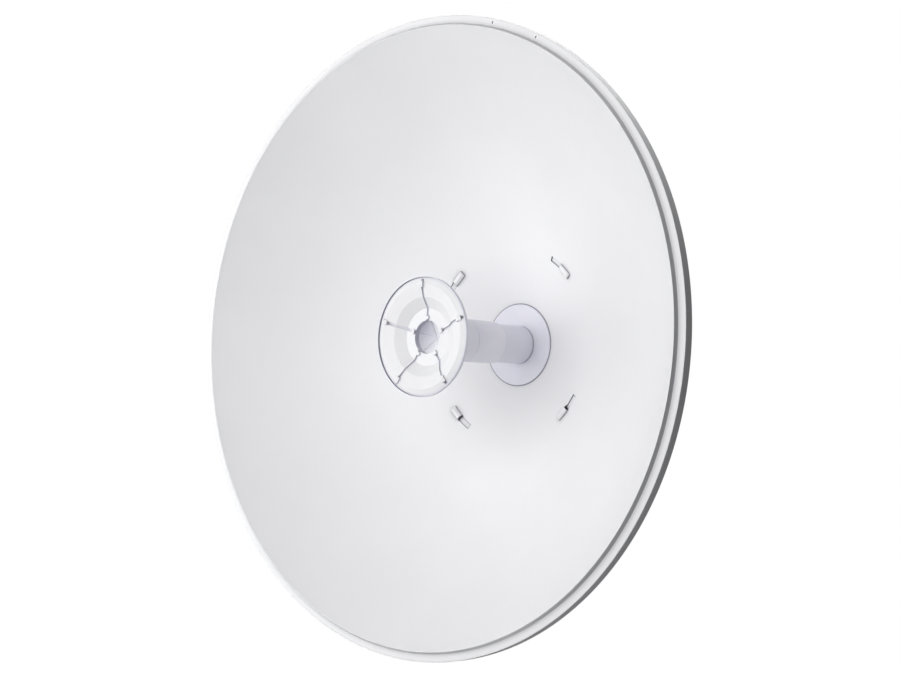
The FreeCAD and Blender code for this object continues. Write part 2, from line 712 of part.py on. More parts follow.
def yoke_bolts():
    depth = PLATE_SHEET + WEB_T + M6["washer_t"] + M6["nut_t"] + 1.0
    return group([carriage_bolt(M6, p, TO_BACK, depth, PLATE_SHEET) for p in yoke_points(FLAT_Y)])


def yoke_washers():
    return group([washer(M6, p, TO_BACK) for p in yoke_points(WEB_BACK_Y)])


def yoke_nuts():
    return group([nut(M6, p, TO_BACK) for p in yoke_points(WEB_BACK_Y + M6["washer_t"])])


def elevation_bolts(z):
    length = EAR_T + SPACER_T + CHEEK_T + M8["washer_t"] + SPRING_T + M8["nut_t"] + 2.6
    return group(both_sides(carriage_bolt(M8, vec(EAR_IN, PIVOT_Y, z), TO_RIGHT, length, EAR_T)))


def elevation_stack(x, make):
    """One fastener piece on each of the four elevation bolts; x is where it starts."""
    shapes = []
    for z in (0.0, ARC_R):
        shapes += both_sides(make(vec(x, PIVOT_Y, z)))
    return group(shapes)


def elevation_spacers():
    side = vec(SPACER_T, 0)
    return elevation_stack(EAR_IN + EAR_T, lambda p: tube(SPACER_R, M8["r"] + FIT, p, p.add(side)))


def elevation_washers():
    return elevation_stack(CHEEK_OUT, lambda p: washer(M8, p, TO_RIGHT))


def elevation_spring_washers():
    return elevation_stack(CHEEK_OUT + M8["washer_t"], lambda p: spring_washer(M8, p, TO_RIGHT))


def elevation_nuts():
    return elevation_stack(CHEEK_OUT + M8["washer_t"] + SPRING_T, lambda p: nut(M8, p, TO_RIGHT))


# ---------------------------------------------------------------- pole bracket and clamp
def arc_slot(x0, x1):
    """Curved slot for the lock bolt, centred above the pivot."""
    half = M8["r"] + SLOT_GAP
    spread = TILT + SLOT_SPARE
    centre = vec(x0, PIVOT_Y, 0)
    inner = ARC_R - half
    outer = ARC_R + half

    def point(radius, angle):
        turn = math.radians(90.0 + angle)
        return centre.add(vec(0, radius * math.cos(turn), radius * math.sin(turn)))

    edges = [arc(point(outer, -spread), point(outer, 0.0), point(outer, spread)),
             arc(point(inner, -spread), point(inner, 0.0), point(inner, spread)),
             line(point(inner, -spread), point(outer, -spread)),
             line(point(inner, spread), point(outer, spread))]
    through = vec(x1 - x0, 0)
    ends = [rod(half, point(ARC_R, angle), point(ARC_R, angle).add(through)) for angle in (-spread, spread)]
    return joined([face_of(edges).extrude(through)] + ends)


def cheek():
    """One side of the pole bracket: a fan round the pivot that carries the curved slot."""
    fan_r = ARC_R + FAN_MARGIN
    half = math.radians(TILT + FAN_SPREAD)
    pivot = vec(CHEEK_IN, PIVOT_Y, 0)
    front = pivot.add(vec(0, -fan_r * math.sin(half), fan_r * math.cos(half)))
    back = pivot.add(vec(0, fan_r * math.sin(half), fan_r * math.cos(half)))
    fan = face_of([arc(front, pivot.add(UP * fan_r), back), line(back, pivot), line(pivot, front)])
    low = -JAW_H + 8.0
    corners = [(WEB_Y + CHEEK_T, low), (WEB_Y + CHEEK_T, JAW_H), (WEB_Y - 6.0, JAW_H), (PIVOT_Y, 20.0),
               (PIVOT_Y, -CHEEK_PAD_R), (WEB_Y - 10.0, low)]
    root = outline([vec(CHEEK_IN, y, z) for y, z in corners])
    side = vec(CHEEK_T, 0)
    plate = joined([fan.extrude(side), root.extrude(side), rod(CHEEK_PAD_R, pivot, pivot.add(side))])
    hole = rod(M8["r"] + FIT, pivot.sub(side), pivot.add(side * 2.0))
    return plate.cut([hole, arc_slot(CHEEK_IN - 1.0, CHEEK_OUT + 1.0)])


def jaw_plate(z0):
    """Flange behind the bracket's web with a toothed half-round seat for the pole."""
    seat_r = POLE_R + JAW_FIT
    plate = box(-JAW_HALF, JAW_HALF, WEB_Y + CHEEK_T - 0.5, -JAW_TIP_Y, z0, z0 + JAW_T)
    tips = edges_where(plate, lambda edge: along(edge, UP) and edge.CenterOfMass.y > -JAW_TIP_Y - 0.1)
    plate = plate.makeFillet(JAW_CORNER, tips)
    through = vec(0, 0, JAW_T + 2.0)
    centre = vec(0, 0, z0 - 1.0)
    cuts = [rod(seat_r, centre, centre.add(through))]
    span = math.degrees(math.acos(JAW_TIP_Y / seat_r)) - JAW_END_ANGLE
    for index in range(JAW_TEETH):
        turn = math.radians(-90.0 - span + 2.0 * span * index / (JAW_TEETH - 1))
        notch = centre.add(vec(seat_r * math.cos(turn), seat_r * math.sin(turn)))
        cuts.append(rod(JAW_NOTCH_R, notch, notch.add(through)))
    return plate.cut(cuts)


def clamp_points(y):
    return [vec(x, y, z) for x in (-CLAMP_X, CLAMP_X) for z in (-CLAMP_Z, CLAMP_Z)]


def pole_bracket():
    web = box(-CHEEK_OUT, CHEEK_OUT, WEB_Y, WEB_Y + CHEEK_T, -JAW_H, JAW_H)
    bracket = joined([web, jaw_plate(JAW_H - JAW_T), jaw_plate(-JAW_H)] + both_sides(cheek()))
    cuts = [square_hole(M8, p, TO_BACK, CHEEK_T) for p in clamp_points(WEB_Y)]
    return bracket.cut(cuts + [web_hole(WEB_Y)])


def web_hole(y0):
    return rod(WEB_HOLE_R, vec(0, y0 - 1.0), vec(0, y0 + CHEEK_T + 1.0))


def rear_jaw():
    """The bracket's flanges mirrored behind the pole, on a web with four bolt holes."""
    front = -WEB_Y - CHEEK_T
    half = CHEEK_OUT - REAR_MARGIN
    web = rounded_box(-half, half, front, -WEB_Y, -JAW_H, JAW_H, REAR_CORNER, TO_BACK)
    web = web.cut([rod(M8["r"] + 0.1, p, p.add(vec(0, 12.0))) for p in clamp_points(front - 4.0)])
    flanges = [jaw_plate(z).mirror(ZERO, TO_BACK) for z in (JAW_H - JAW_T, -JAW_H)]
    return joined([web] + flanges).cut(web_hole(front))


def clamp_bolts():
    length = CLAMP_END_Y - WEB_Y
    return group([carriage_bolt(M8, p, TO_BACK, length, CHEEK_T) for p in clamp_points(WEB_Y)])


def clamp_washers():
    return group([washer(M8, p, TO_BACK) for p in clamp_points(-WEB_Y)])


def clamp_spring_washers():
    return group([spring_washer(M8, p, TO_BACK) for p in clamp_points(-WEB_Y + M8["washer_t"])])


def clamp_nuts():
    start = -WEB_Y + M8["washer_t"] + SPRING_T
    return group([nut(M8, p, TO_BACK) for p in clamp_points(start)])


# ---------------------------------------------------------------- radio
def shell_half(y0, y1, outer_face):
    """Half of the radio's case: a tray with rounded corners, open at the parting plane."""
    tray = case_block(0.0, y0, y1)
    rim = edges_where(tray, lambda edge: abs(edge.CenterOfMass.y - outer_face) < 0.01)
    tray = tray.makeFillet(SHELL_ROUND, rim)
    in0 = y0 + RADIO_WALL if outer_face == y0 else y0 - 1.0
    in1 = y1 - RADIO_WALL if outer_face == y1 else y1 + 1.0
    return tray.cut(case_block(RADIO_WALL, in0, in1))


def case_block(inset, y0, y1):
    """The case's outline, drawn in by an inset, as a solid from y0 to y1."""
    x = RADIO_X - inset
    z = RADIO_H - inset
    return rounded_box(-x, x, y0, y1, -z, z, RADIO_ROUND - inset, TO_BACK)


def radio_front_shell():
    """Front half: posts for both sets of screws, a collar for the waveguide and four side bosses."""
    shell = shell_half(RADIO_FRONT_Y, BOARD_Y, RADIO_FRONT_Y)
    inside = RADIO_FRONT_Y + 2.0
    adds = []
    cuts = [rod(TUBE_R + FIT, vec(0, RADIO_FRONT_Y - 1.0), vec(0, RADIO_FRONT_Y + 10.0))]
    posts = [(x, z, SHELL_BOSS_R, SHELL_SCREW_R, 14.0) for x, z in SHELL_SCREWS]
    posts += [(x, z, BOARD_BOSS_R, BOARD_SCREW_R, 9.0) for x, z in BOARD_SCREWS]
    for x, z, post_r, screw_r, depth in posts:
        adds.append(rod(post_r, vec(x, inside, z), vec(x, BOARD_Y, z)))
        cuts.append(rod(screw_r + FIT, vec(x, PARTING_Y - depth, z), vec(x, PARTING_Y, z)))
    for z in (-SIDE_SCREW_Z, SIDE_SCREW_Z):
        boss = rod(5.0, vec(RADIO_X - 4.0, SIDE_SCREW_Y, z), vec(EAR_IN - FIT, SIDE_SCREW_Y, z))
        hole = rod(SIDE_SCREW_R + FIT, vec(RADIO_X - 2.0, SIDE_SCREW_Y, z), vec(EAR_IN, SIDE_SCREW_Y, z))
        adds += both_sides(boss)
        cuts += both_sides(hole)
    adds.append(tube(TUBE_R + 2.5, TUBE_R + FIT, vec(0, RADIO_FRONT_Y), vec(0, RADIO_FRONT_Y + 4.0)))
    shell = joined([shell] + adds).cut(cuts)
    half = GUIDE_HALF + GUIDE_GAP
    slots = [box(x - half, x + half, GUIDE_Y, GUIDE_Y + GUIDE_T, -RADIO_H - 1.0, JACK_Z + 1.0)
             for x in GUIDE_X]
    return shell.cut(slots)


def radio_rear_shell():
    """Rear half: screw posts, the port openings below, light pipe holes, vent hole and two grooves."""
    shell = shell_half(PARTING_Y + GASKET_HALF, RADIO_BACK_Y, RADIO_BACK_Y)
    adds = []
    cuts = []
    past = RADIO_BACK_Y + 1.0
    head_r, head_t = SHELL_SCREW_HEAD
    for x, z in SHELL_SCREWS:
        adds.append(rod(SHELL_BOSS_R, vec(x, PARTING_Y + GASKET_HALF, z), vec(x, RADIO_BACK_Y - 2.0, z)))
        cuts.append(rod(SHELL_SCREW_R + 0.45, vec(x, PARTING_Y, z), vec(x, past, z)))
        cuts.append(rod(head_r + 0.2, vec(x, RADIO_BACK_Y - head_t - 0.2, z), vec(x, past, z)))
    shell = joined([shell] + adds).cut(cuts)
    low = -RADIO_H - 1.0
    high = JACK_Z + 1.0
    openings = [box(-PORT_X, PORT_X, *PORT_Y, low, high)]
    openings.append(rod(BUTTON_R + FIT, vec(BUTTON_X, BUTTON_Y, low), vec(BUTTON_X, BUTTON_Y, high)))
    openings.append(rod(GROUND_R + FIT, vec(GROUND_X, BUTTON_Y, low), vec(GROUND_X, BUTTON_Y, high)))
    for x, z, radius in [(x, PIPE_Z, PIPE_R) for x in PIPE_X] + [(0.0, VENT_Z, VENT_R)]:
        openings.append(rod(radius + FIT, vec(x, RADIO_BACK_Y - 4.0, z), vec(x, past, z)))
    groove = box(-2.0, 2.0, RADIO_BACK_Y - 0.8, past, -RIB_Z, RIB_Z)
    groove.translate(vec(RADIO_X - 14.0, 0))
    return shell.cut(openings + both_sides(groove))


def housing_gasket():
    outer = case_block(GASKET_INSET, PARTING_Y - GASKET_HALF, PARTING_Y + GASKET_HALF)
    return outer.cut(case_block(RADIO_WALL, PARTING_Y - 1.0, PARTING_Y + 1.0))


def shell_screws():
    seat = RADIO_BACK_Y - SHELL_SCREW_HEAD[1] - 0.2
    return group([pan_screw(SHELL_SCREW_R, SHELL_SCREW_HEAD, vec(x, seat, z), -TO_BACK, 30.0)
                  for x, z in SHELL_SCREWS])


def radio_board():
    board = box(-BOARD_X, BOARD_X, BOARD_Y, BOARD_BACK_Y, *BOARD_Z)
    past = vec(0, BOARD_T + 2.0)
    cuts = []
    for places, radius in ((SHELL_SCREWS, SHELL_BOSS_R + 1.0), (BOARD_SCREWS, BOARD_SCREW_R + 0.45)):
        starts = [vec(x, BOARD_Y - 1.0, z) for x, z in places]
        cuts += [rod(radius, start, start.add(past)) for start in starts]
    chip = box(-10.0, 10.0, BOARD_BACK_Y, BOARD_Y + 4.0, 20.0, 36.0)
    return board.cut(cuts).fuse(chip)


def board_screws():
    return group([pan_screw(BOARD_SCREW_R, BOARD_SCREW_HEAD, vec(x, BOARD_BACK_Y, z), -TO_BACK, 8.0)
                  for x, z in BOARD_SCREWS])


def shield_cans():
    sheet = 0.5
    height = 4.0
    y0 = BOARD_BACK_Y
    cans = []
    for x0, x1, z0, z1 in ((-24.0, 24.0, -14.0, 14.0), (12.5, 30.0, 20.0, 40.0)):
        can = rounded_box(x0, x1, y0, y0 + height, z0, z1, 1.5, TO_BACK)
        inside = box(x0 + sheet, x1 - sheet, y0 - 1.0, y0 + height - sheet, z0 + sheet, z1 - sheet)
        cans.append(can.cut(inside))
    return group(cans)


def ethernet_jack():
    """Block with the plug's mouth below and the groove for its latch."""
    y0 = BOARD_BACK_Y
    jack = box(-JACK_X, JACK_X, y0, y0 + JACK_T, JACK_Z + 0.2, JACK_Z + 0.2 + JACK_L)
    mouth = box(-5.9, 5.9, y0 + 3.0, y0 + 10.0, JACK_Z - 1.0, JACK_Z + 13.0)
    key = box(-3.2, 3.2, y0 + 0.9, y0 + 3.1, JACK_Z - 1.0, JACK_Z + 11.0)
    return jack.cut([mouth, key])


def reset_switch():
    half = 3.0
    return box(BUTTON_X - half, BUTTON_X + half, BOARD_BACK_Y, BUTTON_Y + half, JACK_Z + 6.0, JACK_Z + 10.0)


def reset_button():
    """Round key with a collar behind the wall, so it can't fall out."""
    def length(radius, low, high):
        return rod(radius, vec(BUTTON_X, BUTTON_Y, low), vec(BUTTON_X, BUTTON_Y, high))

    key = length(BUTTON_R, -RADIO_H - 0.8, JACK_Z + 2.0)
    collar = length(BUTTON_R + 0.9, JACK_Z + 0.05, JACK_Z + 1.2)
    stem = length(1.2, JACK_Z + 1.0, JACK_Z + 4.8)
    return joined([key, collar, stem])


def light_pipes():
    return group([rod(PIPE_R, vec(x, BOARD_BACK_Y + 0.3, PIPE_Z), vec(x, RADIO_BACK_Y + 0.3, PIPE_Z))
                  for x in PIPE_X])


def pressure_vent():
    """Plug with a low round cap outside the case."""
    plug = rod(VENT_R, vec(0, RADIO_BACK_Y - 3.5, VENT_Z), vec(0, RADIO_BACK_Y + 0.2, VENT_Z))
    top = vec(0, RADIO_BACK_Y + 1.8, VENT_Z)
    cap = rod(VENT_CAP_R, vec(0, RADIO_BACK_Y + FIT, VENT_Z), top)
    return joined([plug, cap.makeFillet(0.8, ring_edges(cap, top))])


def ground_screw():
    return pan_screw(GROUND_R, (3.6, 2.2), vec(GROUND_X, BUTTON_Y, -RADIO_H - 1.0), UP, 9.0)


def ground_washer():
    seat = vec(GROUND_X, BUTTON_Y, -RADIO_H)
    return tube(5.0, GROUND_R + 2.0 * FIT, seat.sub(UP), seat)


def side_screws():
    shapes = []
    for z in (-SIDE_SCREW_Z, SIDE_SCREW_Z):
        seat = vec(EAR_IN + EAR_T, SIDE_SCREW_Y, z)
        shapes += both_sides(pan_screw(SIDE_SCREW_R, (4.4, 2.6), seat, -TO_RIGHT, 10.5))
    return group(shapes)


def cover_block(inset, low, high):
    """The port cover's outline, drawn in by an inset, as a solid between two heights."""
    x = RADIO_X - inset
    y = (RADIO_FRONT_Y + inset, RADIO_BACK_Y - inset)
    return rounded_box(-x, x, *y, low, high, RADIO_ROUND - inset, UP)


def port_cover():
    """Cup below the shells that hides the sockets; two tongues guide it."""
    top = -RADIO_H - 0.1
    floor = RADIO_LOW_Z + COVER_WALL
    cup = cover_block(0.0, RADIO_LOW_Z, top)
    rim = edges_where(cup, lambda edge: abs(edge.CenterOfMass.z - RADIO_LOW_Z) < 0.01)
    cup = cup.makeFillet(SHELL_ROUND, rim).cut(cover_block(COVER_WALL, floor, top + 1.0))
    tongue_y = (GUIDE_Y + GUIDE_GAP, GUIDE_Y + GUIDE_T - GUIDE_GAP)
    tongues = [box(x - GUIDE_HALF, x + GUIDE_HALF, *tongue_y, floor - 0.5, -RADIO_H + 8.0) for x in GUIDE_X]
    hole = rod(GROMMET_R + FIT, vec(0, GROMMET_Y, RADIO_LOW_Z - 1.0), vec(0, GROMMET_Y, floor + 1.0))
    return joined([cup] + tongues).cut(hole)


def port_grommet():
    """Rubber plug in the cover's cable hole, lipped on both sides of the wall."""
    floor = RADIO_LOW_Z + COVER_WALL
    discs = []
    for radius, low, high in ((GROMMET_R, RADIO_LOW_Z - 0.1, floor + 0.1),
                              (GROMMET_LIP_R, RADIO_LOW_Z - 1.5, RADIO_LOW_Z - FIT),
                              (GROMMET_LIP_R, floor + FIT, floor + 1.4)):
        discs.append(rod(radius, vec(0, GROMMET_Y, low), vec(0, GROMMET_Y, high)))
    return joined(discs)


# ---------------------------------------------------------------- every node
NODES = {
    "dish_reflector": dish_reflector,
    "feed_flange": feed_flange,
    "flange_seal": flange_seal,
    "waveguide_tube": waveguide_tube,
    "feed_probes": feed_probes,
    "probe_bushes": probe_bushes,
    "front_feed_sleeve": lambda: feed_sleeve(SLEEVE_FRONT, SLEEVE_JOINT - SLEEVE_GAP),
    "rear_feed_sleeve": lambda: feed_sleeve(SLEEVE_JOINT, SLEEVE_REAR),
    "dielectric_support": dielectric_support,
    "waveguide_backshort": waveguide_backshort,
    "subreflector_cover": subreflector_cover,
    "subreflector_plate": subreflector_plate,
    "feed_lock_nut": feed_lock_nut,
    "back_plate": back_plate,
    "elevation_yoke": elevation_yoke,
    "yoke_bolts": yoke_bolts,
    "yoke_washers": yoke_washers,
    "yoke_nuts": yoke_nuts,
    "pivot_bolts": lambda: elevation_bolts(0.0),
    "tilt_lock_bolts": lambda: elevation_bolts(ARC_R),
    "elevation_spacers": elevation_spacers,
    "elevation_washers": elevation_washers,
    "elevation_spring_washers": elevation_spring_washers,
    "elevation_nuts": elevation_nuts,
    "pole_bracket": pole_bracket,
    "clamp_bolts": clamp_bolts,
    "rear_jaw": rear_jaw,
    "clamp_washers": clamp_washers,
    "clamp_spring_washers": clamp_spring_washers,
    "clamp_nuts": clamp_nuts,
    "radio_front_shell": radio_front_shell,
    "radio_rear_shell": radio_rear_shell,
    "housing_gasket": housing_gasket,
    "shell_screws": shell_screws,
    "radio_board": radio_board,
    "board_screws": board_screws,
    "shield_cans": shield_cans,
    "ethernet_jack": ethernet_jack,
    "reset_switch": reset_switch,
    "reset_button": reset_button,
    "light_pipes": light_pipes,
    "pressure_vent": pressure_vent,
    "ground_screw": ground_screw,
    "ground_washer": ground_washer,
    "radio_side_screws": side_screws,
    "port_cover": port_cover,
    "port_grommet": port_grommet,
}

os.makedirs("parts", exist_ok=True)
for name, make in NODES.items():
    shape = make()
    print(name, len(shape.Solids), "solids", shape.isValid(), round(shape.Volume, 1))
    shape.exportStep(f"parts/{name}.step")
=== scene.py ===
import bmesh
import bpy
import json
import math
from mathutils import Matrix, Vector


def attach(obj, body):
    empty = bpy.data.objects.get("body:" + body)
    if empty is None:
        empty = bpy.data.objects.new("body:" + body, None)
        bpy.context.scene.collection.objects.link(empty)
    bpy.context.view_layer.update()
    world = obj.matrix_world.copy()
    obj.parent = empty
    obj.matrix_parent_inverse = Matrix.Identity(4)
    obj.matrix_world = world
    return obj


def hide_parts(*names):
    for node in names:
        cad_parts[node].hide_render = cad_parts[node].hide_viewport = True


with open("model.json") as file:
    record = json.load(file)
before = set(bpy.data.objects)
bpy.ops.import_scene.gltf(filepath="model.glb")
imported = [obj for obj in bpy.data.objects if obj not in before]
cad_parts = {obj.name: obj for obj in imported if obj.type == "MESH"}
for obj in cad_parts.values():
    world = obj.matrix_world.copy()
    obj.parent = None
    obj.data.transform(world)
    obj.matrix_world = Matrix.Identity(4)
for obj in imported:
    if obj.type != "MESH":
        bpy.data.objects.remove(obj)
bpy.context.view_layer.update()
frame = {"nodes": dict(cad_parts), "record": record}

# ---- view: the camera looks at the middle of the rim from its right and a little below ----
VIEW_AZIMUTH = math.radians(42.96)
VIEW_ELEVATION = math.radians(-4.49)
VIEW_DISTANCE = 1.8434
VIEW_LENS = 73.34
AIM_RIGHT = 0.0315
AIM_UP = -0.0011

RIM_Y = -0.290             # front plane of the rim
FLOOR_Z = -0.80
FLOOR_HALF = 6.0
FLOOR_GLOW = 0.99


# ---------------------------------------------------------------- materials
DRIFT_STOPS = (0.35, 0.65)
# painted crevice shade: grooves and corners are painted darker where little open sky reaches them
OPEN_SHADE = (0.40, 0.98)   # share of open sky that counts as a full groove, and as none
WELL_R = 0.0170             # mouth of the sub-reflector's well
# painted shade in the sub-reflector's well, graded from its shaded side to its lit side
WELL_SHADE_SPREAD = (-0.014, 0.008)
WELL_PAINTED_SHADE = (0.50, 0.495, 0.575)
WELL_PAINTED_LIT = (0.80, 0.80, 0.83)
# painted shade in the groove outside the bowl's crest: its radii, its front, and its fade towards the shaded
# side
GROOVE_IN = (0.3134, 0.3138)
GROOVE_OUT = (0.3162, 0.3156)
GROOVE_FRONT = (-0.2898, -0.2901)
GROOVE_SHADE_SPREAD = (0.17, 0.30)
GROOVE_PAINTED_SHADE = (0.38, 0.38, 0.40)


def node(tree, kind, x, y, **values):
    made = tree.nodes.new(kind)
    made.location = (x, y)
    for key, value in values.items():
        if key in made.inputs:
            made.inputs[key].default_value = value
        else:
            setattr(made, key, value)
    return made


def noise(tree, where, scale, detail, rough):
    made = node(tree, "ShaderNodeTexNoise", -900, 0, Scale=scale, Detail=detail, Roughness=rough)
    tree.links.new(where.outputs["Object"], made.inputs["Vector"])
    return made


def ramp(tree, source, low, high):
    made = node(tree, "ShaderNodeValToRGB", -600, 0)
    for element, position, colour in zip(made.color_ramp.elements, DRIFT_STOPS, (low, high)):
        element.position = position
        element.color = (*colour, 1.0)
    tree.links.new(source, made.inputs["Fac"])
    return made.outputs["Color"]


def paint_crevice_shade(tree, base, painted_shade, shade_reach):
    """Painted shade: a tint that deepens where walls stand close together."""
    near = node(tree, "ShaderNodeAmbientOcclusion", -500, 300, samples=12, Distance=shade_reach)
    curve = node(tree, "ShaderNodeMapRange", -350, 300)
    curve.inputs["From Min"].default_value = OPEN_SHADE[0]
    curve.inputs["From Max"].default_value = OPEN_SHADE[1]
    tree.links.new(near.outputs["AO"], curve.inputs["Value"])
    mix = node(tree, "ShaderNodeMix", -150, 300, data_type="RGBA")
    mix.inputs[6].default_value = (*painted_shade, 1.0)
    tree.links.new(curve.outputs["Result"], mix.inputs[0])
    tree.links.new(base, mix.inputs[7])
    return mix.outputs[2]


def shade(colour, amount):
    return tuple(max(0.0, min(1.0, c * (1.0 + amount))) for c in colour)


def surface(name, colour, rough, metal=0.0, spread=0.03, patch=14.0, grain=900.0, grain_height=0.00003,
            rough_spread=0.06, subsurface=0.0, painted_shade=None, shade_reach=0.006):
    """A base colour that drifts slightly, a roughness that drifts with it, and a fine grain as bump.

    The painted shade colour is the tint that grooves and corners sink to, within the reach of their walls.
    """
    made = bpy.data.materials.new(name)
    made.use_nodes = True
    tree = made.node_tree
    tree.nodes.clear()
    out = node(tree, "ShaderNodeOutputMaterial", 400, 0)
    bsdf = node(tree, "ShaderNodeBsdfPrincipled", 100, 0, Metallic=metal)
    where = node(tree, "ShaderNodeTexCoord", -1200, 0)
    drift = noise(tree, where, patch, 4.0, 0.55)
    base = ramp(tree, drift.outputs["Fac"], shade(colour, -spread), shade(colour, spread))
    # painted shade in grooves and corners
    if painted_shade:
        base = paint_crevice_shade(tree, base, painted_shade, shade_reach)
    tree.links.new(base, bsdf.inputs["Base Color"])
    fine = noise(tree, where, grain, 2.0, 0.5)
    rough_map = node(tree, "ShaderNodeMapRange", -300, -200)
    rough_map.inputs["To Min"].default_value = max(0.02, rough - rough_spread)
    rough_map.inputs["To Max"].default_value = rough + rough_spread
    tree.links.new(drift.outputs["Fac"], rough_map.inputs["Value"])
    tree.links.new(rough_map.outputs["Result"], bsdf.inputs["Roughness"])
    bump = node(tree, "ShaderNodeBump", -200, -400, Strength=1.0, Distance=grain_height)
    tree.links.new(fine.outputs["Fac"], bump.inputs["Height"])
    tree.links.new(bump.outputs["Normal"], bsdf.inputs["Normal"])
    bsdf.inputs["Subsurface Weight"].default_value = subsurface
    bsdf.inputs["Subsurface Scale"].default_value = 0.002
    tree.links.new(bsdf.outputs["BSDF"], out.inputs["Surface"])
    return made


# reflector_coat, cover_plastic and feed_coat carry a painted shade colour that their grooves and corners
# darken to
MATERIALS = {
    "reflector_coat": surface("powder_coat_white", (0.80, 0.80, 0.815), 0.46, spread=0.012, patch=9.0,
                              grain=1100.0, grain_height=0.000012, painted_shade=(0.14, 0.135, 0.165), shade_reach=0.006),
    "feed_plastic": surface("feed_plastic", (0.785, 0.78, 0.85), 0.42, spread=0.015, patch=30.0, grain=2500.0,
                            grain_height=0.00001, subsurface=0.1),
    "cover_plastic": surface("cover_plastic", (0.80, 0.80, 0.82), 0.4, spread=0.012, patch=30.0, grain=2500.0,
                             grain_height=0.00001, painted_shade=(0.62, 0.61, 0.68), shade_reach=0.003),
    "feed_coat": surface("feed_coat", (0.725, 0.722, 0.80), 0.42, spread=0.015, patch=30.0, grain=1600.0,
                         grain_height=0.00001, painted_shade=(0.30, 0.29, 0.36), shade_reach=0.004),
    "seal_rubber": surface("seal_rubber", (0.26, 0.25, 0.34), 0.6, spread=0.05, grain=1800.0),
    "bare_aluminium": surface("turned_aluminium", (0.72, 0.73, 0.75), 0.32, metal=1.0),
    "probe_brass": surface("probe_brass", (0.78, 0.58, 0.28), 0.3, metal=1.0),
    "dielectric": surface("milky_plastic", (0.86, 0.86, 0.82), 0.35, subsurface=0.3),
    "zinc_steel": surface("zinc_plate", (0.62, 0.64, 0.66), 0.34, metal=1.0, spread=0.08, patch=160.0,
                          rough_spread=0.1),
    "bracket_coat": surface("powder_coat_grey", (0.55, 0.56, 0.58), 0.5, spread=0.03, patch=25.0,
                            grain=1400.0, grain_height=0.00005),
    "case_plastic": surface("case_plastic", (0.78, 0.78, 0.79), 0.5, spread=0.015, patch=30.0, grain=3000.0,
                            grain_height=0.00004),
    "board": surface("solder_mask", (0.03, 0.16, 0.07), 0.3, spread=0.15, patch=120.0),
    "can_metal": surface("tinned_sheet", (0.7, 0.7, 0.7), 0.3, metal=1.0),
    "jack_plastic": surface("black_plastic", (0.03, 0.03, 0.033), 0.35, spread=0.1),
    "key_plastic": surface("grey_plastic", (0.2, 0.205, 0.22), 0.45, spread=0.05, grain=2200.0),
    "light_pipe": surface("light_pipe", (0.8, 0.86, 0.88), 0.12),
}


def distance_along(tree, where, direction):
    """A place's distance along a direction."""
    along = node(tree, "ShaderNodeVectorMath", -900, 800, operation="DOT_PRODUCT")
    along.inputs[1].default_value = direction
    tree.links.new(where.outputs["Object"], along.inputs[0])
    return along.outputs["Value"]


def axis_distance(tree, where):
    """A place's distance from the dish's axis."""
    flat = node(tree, "ShaderNodeVectorMath", -1000, 600, operation="MULTIPLY")
    flat.inputs[1].default_value = (1.0, 0.0, 1.0)
    size = node(tree, "ShaderNodeVectorMath", -850, 600, operation="LENGTH")
    tree.links.new(where.outputs["Object"], flat.inputs[0])
    tree.links.new(flat.outputs["Vector"], size.inputs[0])
    return size.outputs["Value"]


def fade(tree, value, ends):
    """0 at the first end, rising to 1 at the second."""
    step = node(tree, "ShaderNodeMapRange", -700, 600)
    step.inputs["From Min"].default_value = ends[0]
    step.inputs["From Max"].default_value = ends[1]
    tree.links.new(value, step.inputs["Value"])
    return step.outputs["Result"]


def product(tree, first, *others):
    for other in others:
        times = node(tree, "ShaderNodeMath", -500, 600, operation="MULTIPLY")
        tree.links.new(first, times.inputs[0])
        tree.links.new(other, times.inputs[1])
        first = times.outputs["Value"]
    return first


def place_of(made):
    """A material's tree with a node that gives the place on the object."""
    tree = made.node_tree
    return tree, node(tree, "ShaderNodeTexCoord", -1200, 600)


def blend(tree, mask, below, above):
    """Mix of two colours, each a plain colour or another node's output."""
    mix = node(tree, "ShaderNodeMix", -300, 700, data_type="RGBA")
    tree.links.new(mask, mix.inputs[0])
    for socket, colour in ((mix.inputs[6], below), (mix.inputs[7], above)):
        if isinstance(colour, tuple):
            socket.default_value = (*colour, 1.0)
        else:
            tree.links.new(colour, socket)
    return mix.outputs[2]


def repaint(made, mask, colour):
    """Lay a second base colour over a material's own where the mask is 1."""
    tree = made.node_tree
    base = next(part for part in tree.nodes if part.type == "BSDF_PRINCIPLED").inputs["Base Color"]
    tree.links.new(blend(tree, mask, base.links[0].from_socket, colour), base)


def paint_well_shade(made):
    """Painted shade in the sub-reflector's well, dark on its shaded side and light on its lit side."""
    tree, where = place_of(made)
    lit_side = fade(tree, distance_along(tree, where, (0.9, 0.0, -0.44)), WELL_SHADE_SPREAD)
    mask = fade(tree, axis_distance(tree, where), (WELL_R + 0.0002, WELL_R))
    repaint(made, mask, blend(tree, lit_side, WELL_PAINTED_SHADE, WELL_PAINTED_LIT))


def paint_groove_shade(made):
    """Painted shade in the groove outside the bowl's crest, darker on the side that faces away from the
    light.
    """
    tree, where = place_of(made)
    radius = axis_distance(tree, where)
    front = fade(tree, distance_along(tree, where, (0.0, 1.0, 0.0)), GROOVE_FRONT)
    side = fade(tree, distance_along(tree, where, (0.95, 0.0, -0.2)), GROOVE_SHADE_SPREAD)
    mask = product(tree, fade(tree, radius, GROOVE_IN), fade(tree, radius, GROOVE_OUT), front, side)
    repaint(made, mask, GROOVE_PAINTED_SHADE)


def paint_frame():
    # painted shade in the sub-reflector's well
    paint_well_shade(MATERIALS["cover_plastic"])
    # painted shade in the groove outside the bowl's crest
    paint_groove_shade(MATERIALS["reflector_coat"])
    slots = {row["node"]: row["material_slot"] for row in frame["record"]["subparts"]}
    for name, obj in frame["nodes"].items():
        made = MATERIALS[slots[name]]
        if not obj.material_slots:
            obj.data.materials.append(made)
        for slot in obj.material_slots:
            slot.material = made


